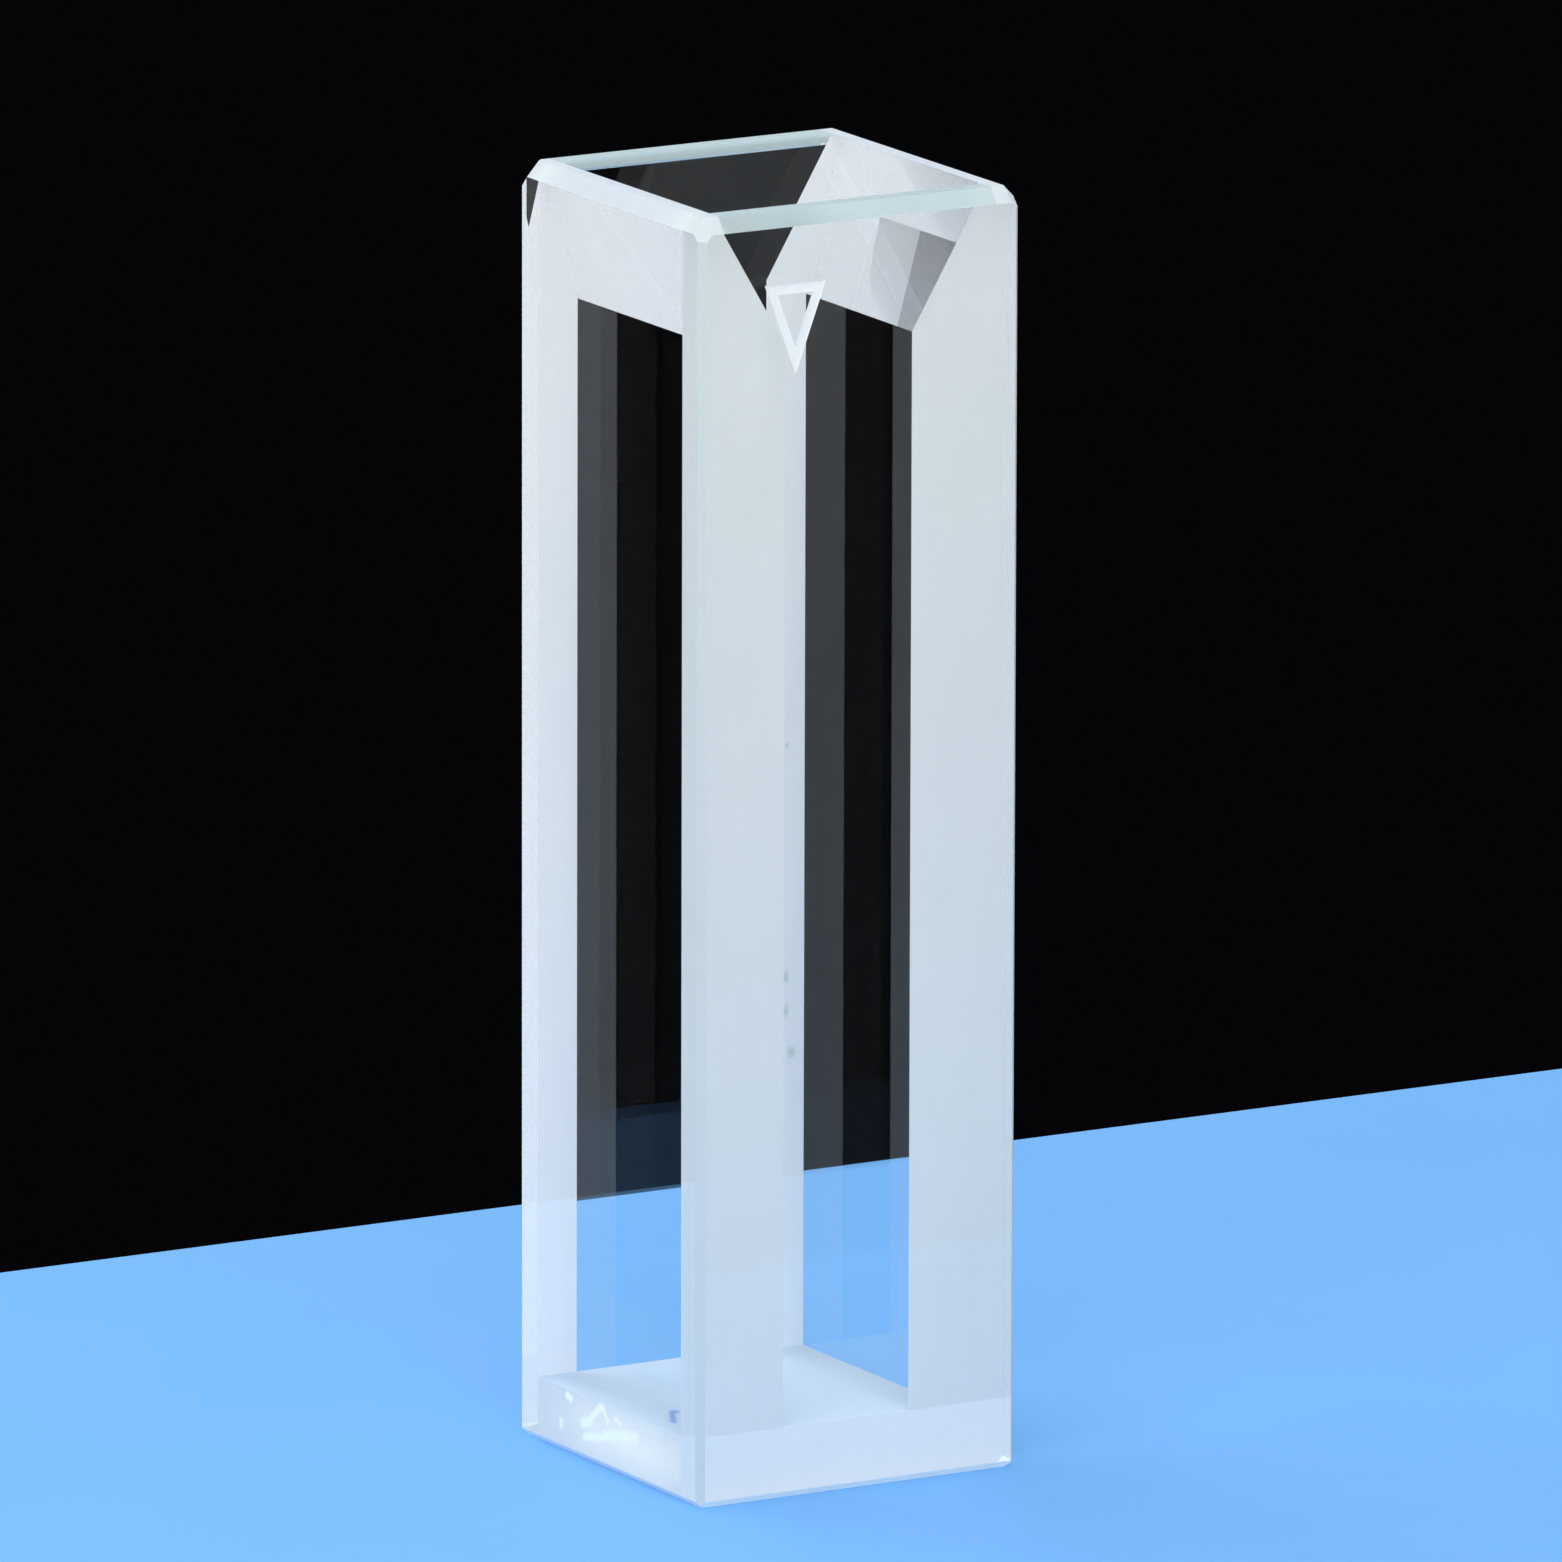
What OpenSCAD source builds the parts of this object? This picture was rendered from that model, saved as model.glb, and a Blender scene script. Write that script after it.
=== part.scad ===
// Four-sided clear cuvette for a light beam. Two window plates run the full height. Two side
// blocks stand on a base plate between them and leave a narrow chamber with a funnel mouth.
// Every face that is bonded is ground, and every face that light passes is polished.
// Units are millimetres. Z is up, the front window faces -Y, and the origin is the middle of
// the underside.

/* [Body] */
// Outer width, along X
body_w = 12.5; // [11:0.1:14]
// Outer depth, along Y
body_d = 12.5; // [11:0.1:14]
// Outer height
body_h = 45; // [30:0.5:60]

/* [Plates] */
// Thickness of each window plate, which leaves a light path of 10 between them
window_t = 1.25; // [0.9:0.05:1.6]
// Thickness of the base plate, up to the chamber floor
base_t = 2.3; // [1:0.1:5]

/* [Chamber] */
// Width of the chamber between the side blocks
chamber_w = 5; // [2:0.1:6]
// Depth of the funnel below the rim
funnel_h = 4.8; // [2:0.1:10]
// Width of each block's top, from its outer face to where the funnel starts
land_w = 0.9; // [0.7:0.05:1.5]

/* [Edges] */
// Width of the bevel round the rim
rim_bevel_w = 0.4; // [0.1:0.05:0.6]
// Height of the bevel round the rim
rim_bevel_h = 0.55; // [0.1:0.05:1]
// Width of the bevel on each window's inner edge, across the mouth
mouth_bevel_w = 0.25; // [0.05:0.05:0.3]
// Height of the bevel on each window's inner edge
mouth_bevel_h = 0.3; // [0.05:0.05:0.5]
// Bevel on the upright edges
side_bevel = 0.25; // [0.05:0.05:0.4]
// Bevel round the foot
foot_bevel = 0.25; // [0.05:0.05:0.45]

/* [Mark] */
// Width of the triangle etched in the front window
mark_w = 2.4; // [1:0.1:3.2]
// Height of the triangle
mark_h = 3.2; // [1.5:0.1:4]
// Width of its line
mark_line = 0.36; // [0.2:0.02:0.4]
// Depth of the etching
mark_depth = 0.04; // [0.02:0.01:0.1]
// Distance from the left side of the body to the middle of the mark
mark_from_side = 3.7; // [2.2:0.05:10]
// Distance from the rim down to the top of the mark
mark_from_rim = 2.5; // [1.2:0.1:20]

/* [Hidden] */

// Depth between the windows, which is the light path
path_d = body_d - 2 * window_t;
// Half the width of the mouth at the rim
mouth_half_w = body_w / 2 - land_w;
// A cut runs this far past the face it opens
past = 1;

// Outline of the body from the front or the side, bevelled at the foot and the rim
function upright_outline(width) =
    let (half = width / 2)
    [
        [-half + foot_bevel, 0],
        [half - foot_bevel, 0],
        [half, foot_bevel],
        [half, body_h - rim_bevel_h],
        [half - rim_bevel_w, body_h],
        [-half + rim_bevel_w, body_h],
        [-half, body_h - rim_bevel_h],
        [-half, foot_bevel]
    ];

// Outline of the body from above, bevelled at its four upright edges
function plan_outline() =
    let (half_w = body_w / 2, half_d = body_d / 2)
    [
        [half_w, half_d - side_bevel],
        [half_w - side_bevel, half_d],
        [-half_w + side_bevel, half_d],
        [-half_w, half_d - side_bevel],
        [-half_w, -half_d + side_bevel],
        [-half_w + side_bevel, -half_d],
        [half_w - side_bevel, -half_d],
        [half_w, -half_d + side_bevel]
    ];

// The right side block from the front, with the slope of the funnel at its top
function block_outline() = [
    [chamber_w / 2, base_t],
    [body_w / 2, base_t],
    [body_w / 2, body_h],
    [mouth_half_w, body_h],
    [chamber_w / 2, body_h - funnel_h]
];

// The mark's triangle, point down, shrunk towards the centre of its inscribed circle
function mark_outline(share) =
    let (
        slant = norm([mark_w / 2, mark_h]),
        centre = [0, -mark_w * mark_h / (mark_w + 2 * slant)],
        corners = [[-mark_w / 2, 0], [mark_w / 2, 0], [0, -mark_h]]
    )
    [for (corner = corners) centre + share * (corner - centre)];

// Distance from the mark's top edge to the centre of its inscribed circle
function mark_inset() = -mark_outline(0)[0].y;

// A prism along Y, standing on an outline drawn in X and Z
module along_y(length) {
    rotate([90, 0, 0])
        linear_extrude(height = length, center = true)
            children();
}

// A prism along X, standing on an outline drawn in Y and Z
module along_x(length) {
    rotate([90, 0, 90])
        linear_extrude(height = length, center = true)
            children();
}

// The whole outer body as one solid, with its outside edges bevelled
module body_blank() {
    intersection() {
        linear_extrude(height = body_h) polygon(plan_outline());
        along_y(body_d) polygon(upright_outline(body_w));
        along_x(body_w) polygon(upright_outline(body_d));
    }
}

// The wedge that the bevel takes off the front window's inner edge, across the mouth
module mouth_bevel_cut() {
    inner_y = -path_d / 2;
    slope = mouth_bevel_h / mouth_bevel_w;
    along_x(2 * mouth_half_w)
        polygon([
            [inner_y - mouth_bevel_w, body_h],
            [inner_y + past, body_h],
            [inner_y + past, body_h - mouth_bevel_h - past * slope],
            [inner_y, body_h - mouth_bevel_h]
        ]);
}

// The etched line of the mark, as a solid that reaches out past the window
module mark_cut() {
    translate([-body_w / 2 + mark_from_side, -body_d / 2 + mark_depth, body_h - mark_from_rim])
        rotate([90, 0, 0])
            linear_extrude(height = mark_depth + past)
                difference() {
                    polygon(mark_outline(1));
                    polygon(mark_outline(1 - mark_line / mark_inset()));
                }
}

// One window plate, in the front window's place
module window_plate() {
    difference() {
        intersection() {
            body_blank();
            translate([-body_w / 2, -body_d / 2, 0]) cube([body_w, window_t, body_h]);
        }
        mouth_bevel_cut();
    }
}

// One side block, in the right block's place
module side_block() {
    intersection() {
        body_blank();
        along_y(path_d) polygon(block_outline());
    }
}

module window_front() {
    color([0.82, 0.90, 0.94, 0.55])
        difference() {
            window_plate();
            mark_cut();
        }
}

module window_back() {
    color([0.82, 0.90, 0.94, 0.55]) mirror([0, 1, 0]) window_plate();
}

module side_block_left() {
    color([0.88, 0.91, 0.93]) mirror([1, 0, 0]) side_block();
}

module side_block_right() {
    color([0.88, 0.91, 0.93]) side_block();
}

module base_plate() {
    color([0.84, 0.88, 0.94])
        intersection() {
            body_blank();
            translate([-body_w / 2, -path_d / 2, 0]) cube([body_w, path_d, base_t]);
        }
}

window_front();
window_back();
side_block_left();
side_block_right();
base_plate();
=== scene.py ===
import math

import bmesh
import bpy
from mathutils import Matrix, Vector


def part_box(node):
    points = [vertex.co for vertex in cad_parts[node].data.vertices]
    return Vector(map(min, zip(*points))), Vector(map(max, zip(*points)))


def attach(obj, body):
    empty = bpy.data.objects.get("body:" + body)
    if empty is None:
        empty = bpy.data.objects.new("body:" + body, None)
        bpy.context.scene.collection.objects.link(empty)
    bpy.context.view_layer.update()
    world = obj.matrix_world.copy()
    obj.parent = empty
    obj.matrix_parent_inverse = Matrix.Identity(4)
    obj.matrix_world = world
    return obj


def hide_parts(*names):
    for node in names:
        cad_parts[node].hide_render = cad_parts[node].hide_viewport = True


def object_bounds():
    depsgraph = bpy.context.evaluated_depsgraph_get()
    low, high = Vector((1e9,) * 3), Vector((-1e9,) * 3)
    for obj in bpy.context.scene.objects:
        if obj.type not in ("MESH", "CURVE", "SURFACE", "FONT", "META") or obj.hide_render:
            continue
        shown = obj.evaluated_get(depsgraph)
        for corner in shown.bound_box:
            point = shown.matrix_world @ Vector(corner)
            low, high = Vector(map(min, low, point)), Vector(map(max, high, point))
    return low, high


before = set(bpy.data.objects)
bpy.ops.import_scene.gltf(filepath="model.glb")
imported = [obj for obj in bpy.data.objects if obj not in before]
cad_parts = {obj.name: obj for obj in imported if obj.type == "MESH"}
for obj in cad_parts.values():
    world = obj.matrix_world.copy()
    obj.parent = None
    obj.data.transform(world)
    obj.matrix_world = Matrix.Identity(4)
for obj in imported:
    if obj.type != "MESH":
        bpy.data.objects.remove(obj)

CAD_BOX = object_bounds()

MM = 0.001

# ---------------------------------------------------------------------------------------------
# Sizes. The body, the plates and the chamber are read from the frame. The rest is given here.

BODY_HIGH = CAD_BOX[1]
HALF_W = BODY_HIGH.x
HALF_D = BODY_HIGH.y
RIM_Z = BODY_HIGH.z
INNER_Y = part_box("side_block_right")[1].y
CHAMBER_HALF_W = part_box("side_block_right")[0].x
FLOOR_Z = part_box("base_plate")[1].z

FUNNEL_H = 4.8 * MM
# Width of each block's top, from its outer face to where the funnel starts
LAND_W = 0.9 * MM
MOUTH_HALF_W = HALF_W - LAND_W

# The right block's chamber wall is a few hundredths of a millimetre out of true over its depth
WALL_TURN = math.radians(0.15)

RIM_BEVEL_W = 0.4 * MM
RIM_BEVEL_H = 0.55 * MM
# The rim's bevel and corners are ground less on the right than on the left
RIGHT_BEVEL_H = 0.4 * MM
# Two of the upright edges, the front left and the back right, are bevelled more than the others
SIDE_BEVEL = 0.25 * MM
FINE_BEVEL = 0.13 * MM
FOOT_BEVEL = 0.25 * MM
# The softened corners of the rim: how far below it they start, and how steeply they face up
CORNER_DROP = 0.78 * MM
RIGHT_CORNER_DROP = 0.6 * MM
CORNER_LEAN = 0.94
MOUTH_BEVEL_W = 0.25 * MM
MOUTH_BEVEL_H = 0.3 * MM

# Room left in each bond, so that no two pieces share a face
BOND_GAP = 0.002 * MM

MARK_W = 2.4 * MM
MARK_H = 3.2 * MM
MARK_LINE = 0.36 * MM
MARK_DEPTH = 0.04 * MM
MARK_X = -HALF_W + 3.7 * MM
MARK_TOP_Z = RIM_Z - 2.5 * MM
# Distance from the mark's top edge to the centre of its inscribed circle
MARK_INSET = MARK_W * MARK_H / (MARK_W + 2 * math.hypot(MARK_W / 2, MARK_H))

# How far a cutter runs past the face it opens
PAST = 1 * MM

# A cut treats places this close together as one, and a face this close to a plane lies on it
CUT_TOLERANCE = 1e-9
ON_PLANE = 1e-7
# A face looks along an axis when its normal's part along that axis is over this
LOOKS_ALONG = 0.9

# Refractive index of fused quartz
QUARTZ_IOR = 1.458

# ---------------------------------------------------------------------------------------------
# Flaws in the bonds, and painted glints and a painted highlight on the base plate's left end


def on_end(y, z):
    """A place on the left end of the base plate, from its depth and height in millimetres."""
    return Vector((-HALF_W, y * MM, z * MM))


# A long bubble under the left block, as (start, end, half width)
BOND_BUBBLE = (Vector((-4.2, -2.97, 2.3)) * MM, Vector((-2.4, -1.64, 2.3)) * MM, 0.3 * MM)

# Faint voids behind the right block, as (place, reach along each axis)
BOND_VOIDS = [
    (Vector((4.55, 5.0, 23.7)) * MM, Vector((0.25, 0.10, 0.16)) * MM),
    (Vector((4.5, 5.0, 15.5)) * MM, Vector((0.45, 0.10, 0.28)) * MM),
    (Vector((4.5, 5.0, 14.3)) * MM, Vector((0.42, 0.10, 0.30)) * MM),
    (Vector((5.0, 5.0, 12.8)) * MM, Vector((0.55, 0.10, 0.28)) * MM),
]

# Painted glints on the left end of the base plate, whiter streaks, as (start, end, half width)
PAINTED_GLINTS = [
    (on_end(2.95, 2.08), on_end(2.65, 2.0), 0.2 * MM),
    (on_end(3.35, 1.12), on_end(3.35, 0.9), 0.15 * MM),
    (on_end(1.8, 1.33), on_end(1.3, 1.5), 0.26 * MM),
    (on_end(1.4, 1.5), on_end(0.5, 2.2), 0.22 * MM),
    (on_end(0.4, 2.15), on_end(0.1, 1.75), 0.15 * MM),
    (on_end(-0.5, 1.95), on_end(-0.75, 1.85), 0.16 * MM),
    (on_end(1.7, 0.85), on_end(-0.2, 1.22), 0.2 * MM),
    (on_end(0.2, 1.2), on_end(-1.9, 1.6), 0.28 * MM),
]

# A painted highlight on the same end, round the glints, as (place, reach along each axis)
PAINTED_HIGHLIGHT = (on_end(-1.0, 1.25), Vector((0.5, 5.6, 1.5)) * MM)

# Their colours. The highlight and glint whites are painted light, and the bubble's blue is the blue
# sheet's light painted in where it shows through.
VOID_GREY = (0.77, 0.85, 0.81, 1)
BUBBLE_SHEET_BLUE = (0.27, 0.38, 0.68, 1)
PAINTED_HIGHLIGHT_WHITE = (0.80, 0.80, 0.73, 1)
PAINTED_GLINT_WHITE = (0.83, 0.86, 0.80, 1)

# Each finish's place in a piece's list of materials
(
    POLISHED,
    BONDED,
    SHADED_FRONT_BOND,
    RIM,
    END,
    ETCHED,
    SHADED_BLOCK_TOP,
    BLOCK_BEVEL,
    EDGE,
    FOOT,
    BASE_BOND,
    CHAMBER_FLOOR,
    FOOT_EDGE,
) = range(13)

# ---------------------------------------------------------------------------------------------
# Node helpers

# The colour sockets of a Mix node, by number because its other sockets have the same names
MIX_FIRST, MIX_SECOND, MIX_RESULT = 6, 7, 2


def set_inputs(tree, node, inputs):
    """Sets each named input of the node to its value, or links it where that is a socket."""
    for label, value in inputs.items():
        if isinstance(value, bpy.types.NodeSocket):
            tree.links.new(value, node.inputs[label])
        else:
            node.inputs[label].default_value = value


def add(tree, kind, inputs=None, **settings):
    """A new shader node: settings are its properties, and inputs its sockets' values or links."""
    node = tree.nodes.new("ShaderNode" + kind)
    for name, value in settings.items():
        setattr(node, name, value)
    set_inputs(tree, node, inputs or {})
    return node


def number(tree, operation, a, b=0.0, c=0.0):
    """The result of a Math node on numbers or links."""
    return add(tree, "Math", {0: a, 1: b, 2: c}, operation=operation).outputs[0]


def vector(tree, operation, a, b):
    """The vector that a Vector Math node makes of two others."""
    return add(tree, "VectorMath", {0: a, 1: b}, operation=operation).outputs[0]


def tinted(tree, colour, factor):
    """A colour multiplied by a number that changes over the surface."""
    grey = add(tree, "CombineColor", {"Red": factor, "Green": factor, "Blue": factor}).outputs[0]
    mix = add(
        tree,
        "Mix",
        {"Factor": 1.0, MIX_FIRST: colour, MIX_SECOND: grey},
        data_type="RGBA",
        blend_type="MULTIPLY",
    )
    return mix.outputs[MIX_RESULT]


def blended(tree, mask, first, second):
    """The first colour where the mask is 0, and the second where it is 1."""
    mix = add(tree, "Mix", {"Factor": mask, MIX_FIRST: first, MIX_SECOND: second}, data_type="RGBA")
    return mix.outputs[MIX_RESULT]


def new_material(name):
    """An empty node material and its tree."""
    material = bpy.data.materials.new(name)
    material.use_nodes = True
    material.node_tree.nodes.clear()
    return material, material.node_tree


def end_with(tree, surface):
    """Makes this shader the material's surface."""
    add(tree, "OutputMaterial", {"Surface": surface.outputs[0]})


def let_light_pass(tree, surface, share):
    """Lets a share of the light that is on its way to other faces pass this one unbent."""
    path = add(tree, "LightPath").outputs
    lighting = number(tree, "MAXIMUM", path["Is Shadow Ray"], path["Is Diffuse Ray"])
    if share < 1:
        lighting = number(tree, "MULTIPLY", lighting, share)
    clear = add(tree, "BsdfTransparent")
    return add(tree, "MixShader", {0: lighting, 1: surface.outputs[0], 2: clear.outputs[0]})


def new_group(name, inputs, outputs):
    """An empty node group. inputs is {socket: (kind, value)}, and outputs is {socket: kind}."""
    tree = bpy.data.node_groups.new(name, "ShaderNodeTree")
    for label, (kind, value) in inputs.items():
        socket = tree.interface.new_socket(label, in_out="INPUT", socket_type="NodeSocket" + kind)
        socket.default_value = value
    for label, kind in outputs.items():
        tree.interface.new_socket(label, in_out="OUTPUT", socket_type="NodeSocket" + kind)
    return tree, tree.nodes.new("NodeGroupInput").outputs, tree.nodes.new("NodeGroupOutput").inputs


def use(tree, group, inputs):
    """Places a node group with this material's own values, and gives its outputs."""
    node = tree.nodes.new("ShaderNodeGroup")
    node.node_tree = group
    set_inputs(tree, node, inputs)
    return node.outputs


# ---------------------------------------------------------------------------------------------
# Effects that several finishes share


def make_fine_grind():
    """What a lap and abrasive leave: a broad uneven tone, a fine grain and faint straight marks."""
    tree, given, result = new_group(
        "fine_grind",
        {
            "Color": ("Color", (1, 1, 1, 1)),
            "Broad tone": ("Float", 0.03),
            "Grain tone": ("Float", 0.03),
            "Grain per m": ("Float", 9000.0),
            "Roughness": ("Float", 0.6),
        },
        {"Color": "Color", "Roughness": "Float", "Height": "Float"},
    )
    where = add(tree, "TexCoord").outputs["Object"]
    broad = add(tree, "TexNoise", {"Vector": where, "Scale": 240.0, "Detail": 3.0}).outputs[0]
    grain = add(
        tree, "TexNoise", {"Vector": where, "Scale": given["Grain per m"], "Detail": 2.0}
    ).outputs[0]
    along = add(tree, "Mapping", {"Vector": where, "Scale": (3500, 3500, 220)}).outputs[0]
    marks = add(tree, "TexNoise", {"Vector": along, "Scale": 1.0, "Detail": 2.0}).outputs[0]
    tone = number(tree, "MULTIPLY_ADD", number(tree, "SUBTRACT", broad, 0.5), given["Broad tone"], 1.0)
    fine = number(tree, "SUBTRACT", number(tree, "ADD", grain, marks), 1.0)
    tone = number(tree, "MULTIPLY_ADD", fine, given["Grain tone"], tone)
    tree.links.new(tinted(tree, given["Color"], tone), result["Color"])
    rough = number(tree, "MULTIPLY_ADD", number(tree, "SUBTRACT", grain, 0.5), 0.3, given["Roughness"])
    tree.links.new(rough, result["Roughness"])
    tree.links.new(number(tree, "MULTIPLY_ADD", marks, 0.5, grain), result["Height"])
    return tree


def ragged_mask(tree, where, radius, given):
    """1 where the radius is well under 1, and 0 past a ragged edge near 1."""
    rough = add(
        tree, "TexNoise", {"Vector": where, "Scale": given["Ragged per m"], "Detail": 3.0}
    ).outputs[0]
    ragged = number(tree, "MULTIPLY", number(tree, "SUBTRACT", rough, 0.5), given["Ragged"])
    edge = number(tree, "SUBTRACT", 1.0, number(tree, "ADD", radius, ragged))
    soft = number(tree, "DIVIDE", edge, given["Soft"])
    return number(tree, "MINIMUM", number(tree, "MAXIMUM", soft, 0.0), 1.0)


def make_spot_mask():
    """A ragged spot round one place: 1 inside it and 0 outside."""
    tree, given, result = new_group(
        "spot_mask",
        {
            "Place": ("Vector", (0, 0, 0)),
            "Reach": ("Vector", (0.001, 0.001, 0.001)),
            "Ragged": ("Float", 0.5),
            "Ragged per m": ("Float", 3000.0),
            "Soft": ("Float", 0.2),
        },
        {"Mask": "Float"},
    )
    where = add(tree, "TexCoord").outputs["Object"]
    share = vector(tree, "DIVIDE", vector(tree, "SUBTRACT", where, given["Place"]), given["Reach"])
    radius = add(tree, "VectorMath", {0: share}, operation="LENGTH").outputs["Value"]
    tree.links.new(ragged_mask(tree, where, radius, given), result["Mask"])
    return tree


def make_stroke_mask():
    """A ragged stroke from Start to End: 1 inside it and 0 outside."""
    tree, given, result = new_group(
        "stroke_mask",
        {
            "Start": ("Vector", (0, 0, 0)),
            "End": ("Vector", (0.001, 0, 0)),
            "Half width": ("Float", 0.001),
            "Ragged": ("Float", 0.5),
            "Ragged per m": ("Float", 3000.0),
            "Soft": ("Float", 0.2),
        },
        {"Mask": "Float"},
    )
    where = add(tree, "TexCoord").outputs["Object"]
    run = vector(tree, "SUBTRACT", given["End"], given["Start"])
    away = vector(tree, "SUBTRACT", where, given["Start"])
    along = add(tree, "VectorMath", {0: away, 1: run}, operation="DOT_PRODUCT").outputs["Value"]
    square = add(tree, "VectorMath", {0: run, 1: run}, operation="DOT_PRODUCT").outputs["Value"]
    share = number(tree, "DIVIDE", along, square)
    share = number(tree, "MINIMUM", number(tree, "MAXIMUM", share, 0.0), 1.0)
    nearest = add(tree, "VectorMath", {0: run, "Scale": share}, operation="SCALE").outputs[0]
    aside = vector(tree, "SUBTRACT", away, nearest)
    distance = add(tree, "VectorMath", {0: aside}, operation="LENGTH").outputs["Value"]
    radius = number(tree, "DIVIDE", distance, given["Half width"])
    tree.links.new(ragged_mask(tree, where, radius, given), result["Mask"])
    return tree


FINE_GRIND = make_fine_grind()
SPOT_MASK = make_spot_mask()
STROKE_MASK = make_stroke_mask()

# ---------------------------------------------------------------------------------------------
# Finishes


def polished_quartz():
    """Clear quartz. Shadow and diffuse rays pass straight through, so the bonded faces are lit."""
    material, tree = new_material("polished_quartz")
    where = add(tree, "TexCoord").outputs["Object"]
    haze = add(tree, "TexNoise", {"Vector": where, "Scale": 350.0, "Detail": 4.0}).outputs[0]
    film = number(tree, "MULTIPLY_ADD", haze, 0.02, 0.985)
    swell = add(tree, "TexNoise", {"Vector": where, "Scale": 120.0, "Detail": 1.0}).outputs[0]
    face = add(tree, "Bump", {"Height": swell, "Strength": 0.05, "Distance": 0.02 * MM})
    glass = add(
        tree,
        "BsdfPrincipled",
        {
            "Base Color": tinted(tree, (0.985, 0.995, 1.0, 1), film),
            "Roughness": 0.0,
            "IOR": QUARTZ_IOR,
            "Specular Tint": (0.62, 0.62, 0.62, 1),
            "Transmission Weight": 1.0,
            "Normal": face.outputs[0],
        },
    )
    end_with(tree, let_light_pass(tree, glass, share=1.0))
    return material


def scattering(tree, colour, roughness, height, through, passing=0.0):
    """Ends a ground finish, a pale face that scatters some of its light inward.

    through is the share that goes in. passing is the share that isn't stopped of the light
    that is on its way to other faces.
    """
    grain = add(tree, "Bump", {"Height": height, "Strength": 0.5, "Distance": 0.01 * MM}).outputs[0]
    face = add(
        tree,
        "BsdfPrincipled",
        {"Base Color": colour, "Roughness": roughness, "IOR": QUARTZ_IOR, "Normal": grain},
    )
    inside = add(tree, "BsdfTranslucent", {"Color": colour, "Normal": grain})
    surface = add(tree, "MixShader", {0: through, 1: face.outputs[0], 2: inside.outputs[0]})
    if passing:
        surface = let_light_pass(tree, surface, passing)
    end_with(tree, surface)


def ground_white(name, colour, through, passing=0.0):
    """A coarse white ground face, with the bubble and the faint voids that lie in the bonds. The
    bubble's blue is the blue sheet's light painted in.
    """
    material, tree = new_material(name)
    start, end, half_width = BOND_BUBBLE
    bubble = use(
        tree,
        STROKE_MASK,
        {"Start": start, "End": end, "Half width": half_width, "Ragged": 0.4, "Soft": 0.8},
    )
    voids = 0.0
    for place, reach in BOND_VOIDS:
        spot = use(tree, SPOT_MASK, {"Place": place, "Reach": reach, "Ragged": 0.8, "Soft": 0.7})
        voids = number(tree, "MAXIMUM", voids, spot["Mask"])
    grind = use(
        tree,
        FINE_GRIND,
        {"Color": colour, "Broad tone": 0.04, "Grain tone": 0.03, "Roughness": 0.65},
    )
    tone = blended(tree, voids, grind["Color"], VOID_GREY)
    # The bubble is real, and its blue is painted: the blue sheet's light seen through it
    tone = blended(tree, bubble["Mask"], tone, BUBBLE_SHEET_BLUE)
    scattering(tree, tone, grind["Roughness"], grind["Height"], through, passing)
    return material


def ground_rim(name, colour, clear_share):
    """A rim or edge ground finer, so that part of what lies behind it shows through."""
    material, tree = new_material(name)
    grind = use(
        tree,
        FINE_GRIND,
        {
            "Color": colour,
            "Broad tone": 0.08,
            "Grain tone": 0.06,
            "Grain per m": 14000.0,
            "Roughness": 0.45,
        },
    )
    grain = add(tree, "Bump", {"Height": grind["Height"], "Strength": 0.4, "Distance": 0.005 * MM})
    face = add(
        tree,
        "BsdfPrincipled",
        {
            "Base Color": grind["Color"],
            "Roughness": grind["Roughness"],
            "IOR": QUARTZ_IOR,
            "Transmission Weight": clear_share,
            "Normal": grain.outputs[0],
        },
    )
    end_with(tree, let_light_pass(tree, face, share=0.8))
    return material


def ground_end():
    """The ends of the base plate, with a painted highlight and painted glints on the left one."""
    material, tree = new_material("ground_end")
    glints = 0.0
    for start, end, half_width in PAINTED_GLINTS:
        glint = use(
            tree,
            STROKE_MASK,
            {
                "Start": start,
                "End": end,
                "Half width": half_width,
                "Ragged": 1.1,
                "Ragged per m": 3500.0,
                "Soft": 0.7,
            },
        )
        glints = number(tree, "MAXIMUM", glints, glint["Mask"])
    grind = use(
        tree,
        FINE_GRIND,
        {
            "Color": (0.60, 0.63, 0.65, 1),
            "Broad tone": 0.10,
            "Grain tone": 0.06,
            "Grain per m": 7000.0,
            "Roughness": 0.6,
        },
    )
    place, reach = PAINTED_HIGHLIGHT
    highlight = use(
        tree,
        SPOT_MASK,
        {"Place": place, "Reach": reach, "Ragged": 0.6, "Ragged per m": 500.0, "Soft": 0.9},
    )
    # Painted highlight, then painted glints of light, laid over the ground tone
    colour = blended(tree, highlight["Mask"], grind["Color"], PAINTED_HIGHLIGHT_WHITE)
    colour = blended(tree, glints, colour, PAINTED_GLINT_WHITE)
    height = number(tree, "ADD", grind["Height"], glints)
    scattering(tree, colour, grind["Roughness"], height, through=0.03, passing=0.7)
    return material


def etched_line():
    """The coarse frosting of the etched mark."""
    material, tree = new_material("etched_line")
    grind = use(
        tree,
        FINE_GRIND,
        {
            "Color": (0.76, 0.79, 0.81, 1),
            "Broad tone": 0.03,
            "Grain tone": 0.08,
            "Grain per m": 12000.0,
            "Roughness": 0.7,
        },
    )
    scattering(tree, grind["Color"], grind["Roughness"], grind["Height"], through=0.05)
    return material


# ---------------------------------------------------------------------------------------------
# Solids cut by planes


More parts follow.
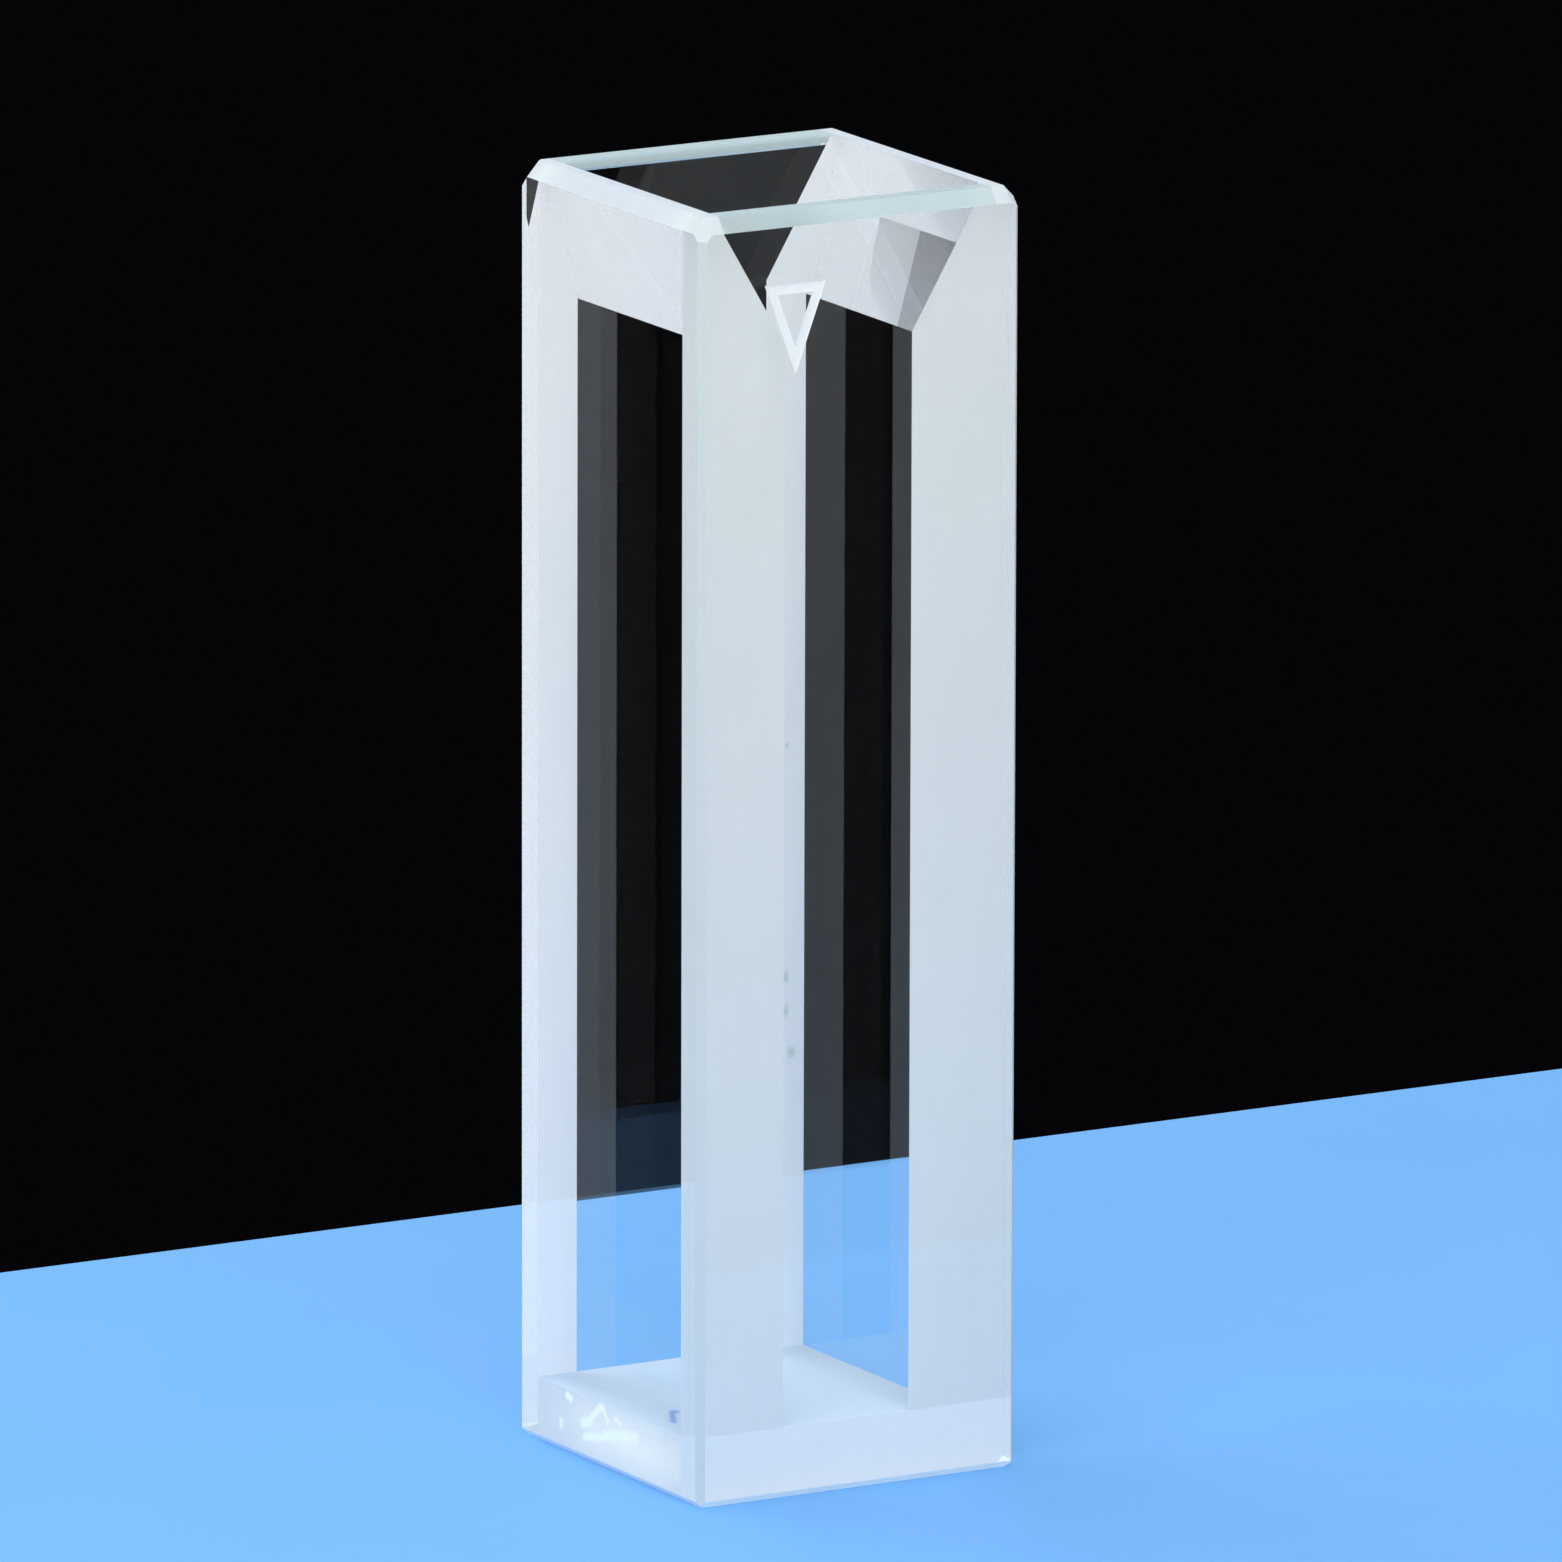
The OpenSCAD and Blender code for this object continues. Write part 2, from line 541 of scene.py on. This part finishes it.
def body_planes():
    """The planes that bound the whole body, each as (point, outward normal, finish)."""
    planes = [
        ((0, 0, 0), (0, 0, -1), FOOT),
        ((0, 0, RIM_Z), (0, 0, 1), RIM),
    ]
    for side in (-1, 1):
        bevel_h = RIM_BEVEL_H if side < 0 else RIGHT_BEVEL_H
        corner_drop = CORNER_DROP if side < 0 else RIGHT_CORNER_DROP
        planes += [
            ((side * HALF_W, 0, 0), (side, 0, 0), POLISHED),
            ((0, side * HALF_D, 0), (0, side, 0), POLISHED),
            ((side * HALF_W, 0, RIM_Z - bevel_h), (side * bevel_h, 0, RIM_BEVEL_W), RIM),
            ((0, side * HALF_D, RIM_Z - RIM_BEVEL_H), (0, side * RIM_BEVEL_H, RIM_BEVEL_W), RIM),
            ((side * HALF_W, 0, FOOT_BEVEL), (side, 0, -1), FOOT),
            ((0, side * HALF_D, FOOT_BEVEL), (0, side, -1), FOOT_EDGE),
        ]
        for other in (-1, 1):
            bevel = SIDE_BEVEL if side == other else FINE_BEVEL
            corner = (side * HALF_W, other * (HALF_D - bevel), 0)
            planes.append((corner, (side, other, 0), EDGE))
            top_corner = (side * HALF_W, other * (HALF_D - SIDE_BEVEL), RIM_Z - corner_drop)
            planes.append((top_corner, (side, other, CORNER_LEAN), RIM))
    return planes


def slope_plane(side):
    """The funnel's slope on the block at this side, as its outward plane."""
    run = MOUTH_HALF_W - CHAMBER_HALF_W
    return ((side * MOUTH_HALF_W, 0, RIM_Z), (-side * FUNNEL_H, 0, run), POLISHED)


def cut_solid(planes):
    """A closed convex mesh: what is left of a rough blank after each plane has cut it."""
    solid = bmesh.new()
    bmesh.ops.create_cube(solid, size=4 * RIM_Z)
    for point, normal, finish in planes:
        everything = solid.verts[:] + solid.edges[:] + solid.faces[:]
        cut = bmesh.ops.bisect_plane(
            solid, geom=everything, dist=CUT_TOLERANCE, plane_co=point, plane_no=normal, clear_outer=True
        )
        open_edges = [
            e for e in cut["geom_cut"] if isinstance(e, bmesh.types.BMEdge) and len(e.link_faces) < 2
        ]
        if open_edges:
            for face in bmesh.ops.edgenet_fill(solid, edges=open_edges)["faces"]:
                face.material_index = finish
    bmesh.ops.recalc_face_normals(solid, faces=solid.faces[:])
    return solid


def split_face(solid, on_plane, point, normal):
    """Cuts the faces for which on_plane is true along another plane, and removes nothing."""
    faces = [f for f in solid.faces if on_plane(f)]
    edges = dict.fromkeys(e for f in faces for e in f.edges)
    corners = dict.fromkeys(v for f in faces for v in f.verts)
    geometry = [*faces, *edges, *corners]
    bmesh.ops.bisect_plane(solid, geom=geometry, dist=CUT_TOLERANCE, plane_co=point, plane_no=normal)


def opens_to_chamber(point):
    """True where a window's inner face is clear of the blocks and the base."""
    x, z = abs(point.x), point.z
    slope_x = CHAMBER_HALF_W + (z - RIM_Z + FUNNEL_H) * (MOUTH_HALF_W - CHAMBER_HALF_W) / FUNNEL_H
    return z > FLOOR_Z and x < max(CHAMBER_HALF_W, slope_x)


def block_finish(face):
    """The finish of a face of the rim over a block: its flat top, a darker copy of the bevel's white
    with painted shade for the light from above, or its bevel.
    """
    return SHADED_BLOCK_TOP if face.normal.z > LOOKS_ALONG else BLOCK_BEVEL


def new_piece(name, solid, materials):
    """A mesh object made from a solid, with its list of materials."""
    mesh = bpy.data.meshes.new(name)
    solid.to_mesh(mesh)
    solid.free()
    for material in materials:
        mesh.materials.append(material)
    piece = bpy.data.objects.new(name, mesh)
    bpy.context.collection.objects.link(piece)
    return piece


def in_place_of(piece, node):
    """Puts the piece where a node of the frame was."""
    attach(piece, "root")
    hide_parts(node)


def carve(piece, cutters):
    """Takes the cutters' shapes out of the piece, and keeps the cutters' finishes on the cuts."""
    for cutter in cutters:
        cut = piece.modifiers.new("cut", "BOOLEAN")
        cut.operation = "DIFFERENCE"
        cut.solver = "EXACT"
        cut.object = cutter
    graph = bpy.context.evaluated_depsgraph_get()
    mesh = bpy.data.meshes.new_from_object(piece.evaluated_get(graph))
    piece.modifiers.clear()
    rough, piece.data = piece.data, mesh
    bpy.data.meshes.remove(rough)
    for cutter in cutters:
        bpy.data.meshes.remove(cutter.data)


def prism(name, outline, low, high, axis, finish, materials):
    """A prism on an outline. axis "x" takes (y, z) points, and axis "y" takes (x, z) points."""
    solid = bmesh.new()
    rings = []
    for place in (low, high):
        if axis == "x":
            rings.append([solid.verts.new((place, a, b)) for a, b in outline])
        else:
            rings.append([solid.verts.new((a, place, b)) for a, b in outline])
    solid.faces.new(rings[0])
    solid.faces.new(rings[1][::-1])
    count = len(outline)
    for i in range(count):
        j = (i + 1) % count
        solid.faces.new((rings[0][j], rings[0][i], rings[1][i], rings[1][j]))
    for face in solid.faces:
        face.material_index = finish
    bmesh.ops.recalc_face_normals(solid, faces=solid.faces[:])
    return new_piece(name, solid, materials)


def mark_outline(share):
    """The mark's triangle, point down, shrunk towards the centre of its inscribed circle."""
    centre = Vector((MARK_X, MARK_TOP_Z - MARK_INSET))
    corners = [
        Vector((MARK_X - MARK_W / 2, MARK_TOP_Z)),
        Vector((MARK_X + MARK_W / 2, MARK_TOP_Z)),
        Vector((MARK_X, MARK_TOP_Z - MARK_H)),
    ]
    return [centre + share * (c - centre) for c in corners]


def mark_cutters(materials):
    """The three bars of the mark's triangle, as prisms that reach out past the window."""
    outer = mark_outline(1)
    inner = mark_outline(1 - MARK_LINE / MARK_INSET)
    cutters = []
    for i in range(3):
        j = (i + 1) % 3
        bar = [outer[i], outer[j], inner[j], inner[i]]
        cutters.append(prism("mark", bar, -HALF_D - PAST, -HALF_D + MARK_DEPTH, "y", ETCHED, materials))
    return cutters


def mouth_cutter(side, materials):
    """The wedge that bevels a window's inner edge across the mouth."""
    inner = side * INNER_Y
    slope = MOUTH_BEVEL_H / MOUTH_BEVEL_W
    wedge = [
        (inner + side * MOUTH_BEVEL_W, RIM_Z),
        (inner + side * MOUTH_BEVEL_W, RIM_Z + PAST),
        (inner - side * PAST, RIM_Z + PAST),
        (inner - side * PAST, RIM_Z - MOUTH_BEVEL_H - PAST * slope),
        (inner, RIM_Z - MOUTH_BEVEL_H),
    ]
    return prism("mouth_bevel", wedge, -MOUTH_HALF_W, MOUTH_HALF_W, "x", RIM, materials)


def grind_bonds(solid, side):
    """Gives a window's inner face its ground finish where the blocks and the base are bonded."""
    inner = side * INNER_Y

    def on_inner(face):
        return abs(face.calc_center_median().y - inner) < ON_PLANE

    split_face(solid, on_inner, (0, 0, FLOOR_Z), (0, 0, 1))
    for x_side in (-1, 1):
        split_face(solid, on_inner, (x_side * CHAMBER_HALF_W, 0, 0), (1, 0, 0))
        point, normal, _ = slope_plane(x_side)
        split_face(solid, on_inner, point, normal)
    # The front window's bonds take a darker copy of the bonded finish: painted shade against the
    # stronger light on the front
    upper = SHADED_FRONT_BOND if side < 0 else BONDED
    for face in solid.faces:
        middle = face.calc_center_median()
        if on_inner(face) and not opens_to_chamber(middle):
            face.material_index = BASE_BOND if middle.z < FLOOR_Z else upper


def grind_block_tops(solid):
    """Gives a window's rim the blocks' finish at its two ends, where it runs on from them."""

    def on_rim(face):
        return face.material_index == RIM

    for x_side in (-1, 1):
        split_face(solid, on_rim, (x_side * MOUTH_HALF_W, 0, 0), (1, 0, 0))
    for face in solid.faces:
        if on_rim(face) and abs(face.calc_center_median().x) > MOUTH_HALF_W:
            face.material_index = block_finish(face)


def window(name, node, side, materials):
    """A window plate at side -1, the front, or 1, the back."""
    solid = cut_solid(body_planes() + [((0, side * INNER_Y, 0), (0, -side, 0), POLISHED)])
    grind_bonds(solid, side)
    grind_block_tops(solid)
    piece = new_piece(name, solid, materials)
    in_place_of(piece, node)
    cutters = [mouth_cutter(side, materials)]
    if side < 0:
        cutters += mark_cutters(materials)
    carve(piece, cutters)


def side_block(name, node, side, turn, materials):
    """The block at side -1, the left, or 1, the right. turn is its chamber wall's lean."""
    planes = body_planes() + [
        ((0, INNER_Y - BOND_GAP, 0), (0, 1, 0), BONDED),
        ((0, -INNER_Y + BOND_GAP, 0), (0, -1, 0), BONDED),
        ((side * CHAMBER_HALF_W, 0, 0), (-side, math.tan(turn), 0), POLISHED),
        ((0, 0, FLOOR_Z + BOND_GAP), (0, 0, -1), CHAMBER_FLOOR),
        slope_plane(side),
    ]
    solid = cut_solid(planes)
    for face in solid.faces:
        if face.material_index == RIM:
            face.material_index = block_finish(face)
    in_place_of(new_piece(name, solid, materials), node)


def base_plate(name, node, materials):
    """The base plate, between the windows and under the blocks."""
    planes = body_planes() + [
        ((0, INNER_Y - BOND_GAP, 0), (0, 1, 0), BASE_BOND),
        ((0, -INNER_Y + BOND_GAP, 0), (0, -1, 0), BASE_BOND),
        ((0, 0, FLOOR_Z), (0, 0, 1), CHAMBER_FLOOR),
    ]
    solid = cut_solid(planes)
    for face in solid.faces:
        if abs(face.normal.x) > LOOKS_ALONG:
            face.material_index = END
    in_place_of(new_piece(name, solid, materials), node)


# ---------------------------------------------------------------------------------------------
# Studio

# The view: its turn from the front, its tilt down, its roll, how far off it is, its aim and lens
VIEW_TURN = math.radians(29.9)
VIEW_TILT = math.radians(12.5)
VIEW_ROLL = math.radians(0.14)
VIEW_DISTANCE = 0.8593
VIEW_AIM = Vector((0.517, -0.005, 23.642)) * MM
LENS = 576.2

# The sheet under it: its left, right, front and rear edges, its drop below the foot, its colour
SHEET = (-0.042, 0.058, -0.036, 0.036)
SHEET_DROP = 0.02 * MM
SHEET_BLUE = (0.138, 0.39, 0.79, 1)

# The room's soft light and the backdrop
ROOM_LIGHT = (0.95, 0.98, 0.99, 1)
ROOM_STRENGTH = 0.83
BACKDROP_DARK = (0.0015, 0.0016, 0.002, 1)


def make_camera():
    """A long lens, far off, a little above and to the left of the front."""
    ahead = Vector(
        (
            math.cos(VIEW_TILT) * math.sin(VIEW_TURN),
            math.cos(VIEW_TILT) * math.cos(VIEW_TURN),
            -math.sin(VIEW_TILT),
        )
    )
    right = Vector((math.cos(VIEW_TURN), -math.sin(VIEW_TURN), 0))
    turn = Matrix((right, right.cross(ahead), -ahead)).transposed().to_4x4()
    turn = turn @ Matrix.Rotation(VIEW_ROLL, 4, "Z")
    data = bpy.data.cameras.new("camera")
    data.lens = LENS
    data.sensor_width = 36
    data.clip_start = 0.01
    camera = bpy.data.objects.new("camera", data)
    camera.matrix_world = Matrix.Translation(VIEW_AIM - VIEW_DISTANCE * ahead) @ turn
    bpy.context.collection.objects.link(camera)
    bpy.context.scene.camera = camera


def make_floor():
    """A pale sheet a little below the foot. Its rear edge is close, and dark lies beyond it."""
    solid = bmesh.new()
    left, right, front, rear = SHEET
    corners = [(left, front), (right, front), (right, rear), (left, rear)]
    solid.faces.new([solid.verts.new((x, y, -SHEET_DROP)) for x, y in corners])
    material, tree = new_material("pale_sheet")
    where = add(tree, "TexCoord").outputs["Object"]
    pulp = add(tree, "TexNoise", {"Vector": where, "Scale": 90.0, "Detail": 4.0}).outputs[0]
    tone = number(tree, "MULTIPLY_ADD", pulp, 0.06, 0.97)
    paint = add(
        tree,
        "BsdfPrincipled",
        {"Base Color": tinted(tree, SHEET_BLUE, tone), "Roughness": 0.7},
    )
    end_with(tree, paint)
    floor = new_piece("floor", solid, [material])


def make_world():
    """Even soft light for the surfaces, and a plain dark backdrop where the eye sees past them."""
    world = bpy.data.worlds.new("studio")
    bpy.context.scene.world = world
    world.use_nodes = True
    tree = world.node_tree
    tree.nodes.clear()
    light = add(tree, "Background", {"Color": ROOM_LIGHT, "Strength": ROOM_STRENGTH})
    backdrop = add(tree, "Background", {"Color": BACKDROP_DARK, "Strength": 1.0})
    path = add(tree, "LightPath").outputs
    straight = number(tree, "MAXIMUM", path["Is Camera Ray"], path["Is Glossy Ray"])
    seen = number(tree, "MAXIMUM", straight, path["Is Transmission Ray"])
    mix = add(tree, "MixShader", {0: seen, 1: light.outputs[0], 2: backdrop.outputs[0]})
    add(tree, "OutputWorld", {"Surface": mix.outputs[0]})


def make_lamp(name, place, size, power):
    """A soft lamp aimed at the middle of the body. It isn't seen, straight or in the quartz."""
    data = bpy.data.lights.new(name, "AREA")
    data.shape = "RECTANGLE"
    data.size, data.size_y = size
    data.energy = power
    lamp = bpy.data.objects.new(name, data)
    lamp.visible_camera = False
    lamp.visible_glossy = False
    lamp.visible_transmission = False
    lamp.location = place
    lamp.rotation_euler = (Vector((0, 0, RIM_Z / 2)) - Vector(place)).to_track_quat("-Z", "Y").to_euler()
    bpy.context.collection.objects.link(lamp)


# ---------------------------------------------------------------------------------------------
# Build

FINISHES = [
    polished_quartz(),
    ground_white("bonded_face", (0.985, 0.99, 0.985, 1), through=0.4),
    # A darker copy of bonded_face for the front window: painted shade against the stronger light on the
    # front
    ground_white("front_bond_painted_shade", (0.84, 0.87, 0.865, 1), through=0.4),
    ground_rim("window_rim", (0.60, 0.73, 0.74, 1), clear_share=0.5),
    ground_end(),
    etched_line(),
    # The blocks' flat tops: a darker copy of the ground white, painted shade against the stronger light
    # from above
    ground_white("block_top_painted_shade", (0.80, 0.83, 0.83, 1), through=0.45, passing=0.7),
    ground_white("block_bevel", (0.95, 0.98, 0.96, 1), through=0.6, passing=0.7),
    ground_rim("ground_edge", (0.55, 0.61, 0.635, 1), clear_share=0.3),
    ground_white("ground_foot", (0.90, 0.94, 0.97, 1), through=0.18, passing=0.7),
    ground_white("base_bond", (0.785, 0.82, 0.82, 1), through=0.12, passing=0.7),
    # The chamber floor's blue and darker tone are painted: the blue sheet's light seen through the base,
    # and painted shade
    ground_white("chamber_floor_painted_blue", (0.54, 0.65, 0.765, 1), through=0.12, passing=0.7),
    # A brighter, cyan copy of ground_edge for the front and back foot bevels: painted light, cyan from
    # the blue sheet
    ground_rim("foot_edge_painted_light", (0.82, 0.93, 0.95, 1), clear_share=0.5),
]
window("front_window_plate", "window_front", side=-1, materials=FINISHES)
window("back_window_plate", "window_back", side=1, materials=FINISHES)
side_block("left_block", "side_block_left", side=-1, turn=0, materials=FINISHES)
side_block("right_block", "side_block_right", side=1, turn=WALL_TURN, materials=FINISHES)
base_plate("floor_block", "base_plate", FINISHES)

make_camera()
make_floor()
make_world()
make_lamp("key", place=(-0.14, -0.155, 0.21), size=(0.34, 0.34), power=0.68)
make_lamp("fill", place=(-0.5, 1.0, 0.7), size=(1.6, 1.6), power=13)

scene = bpy.context.scene
scene.view_settings.view_transform = "Standard"
# Light meets many polished faces on its way through
scene.cycles.max_bounces = 32
scene.cycles.diffuse_bounces = 10
scene.cycles.glossy_bounces = 16
scene.cycles.transmission_bounces = 24
scene.cycles.transparent_max_bounces = 32
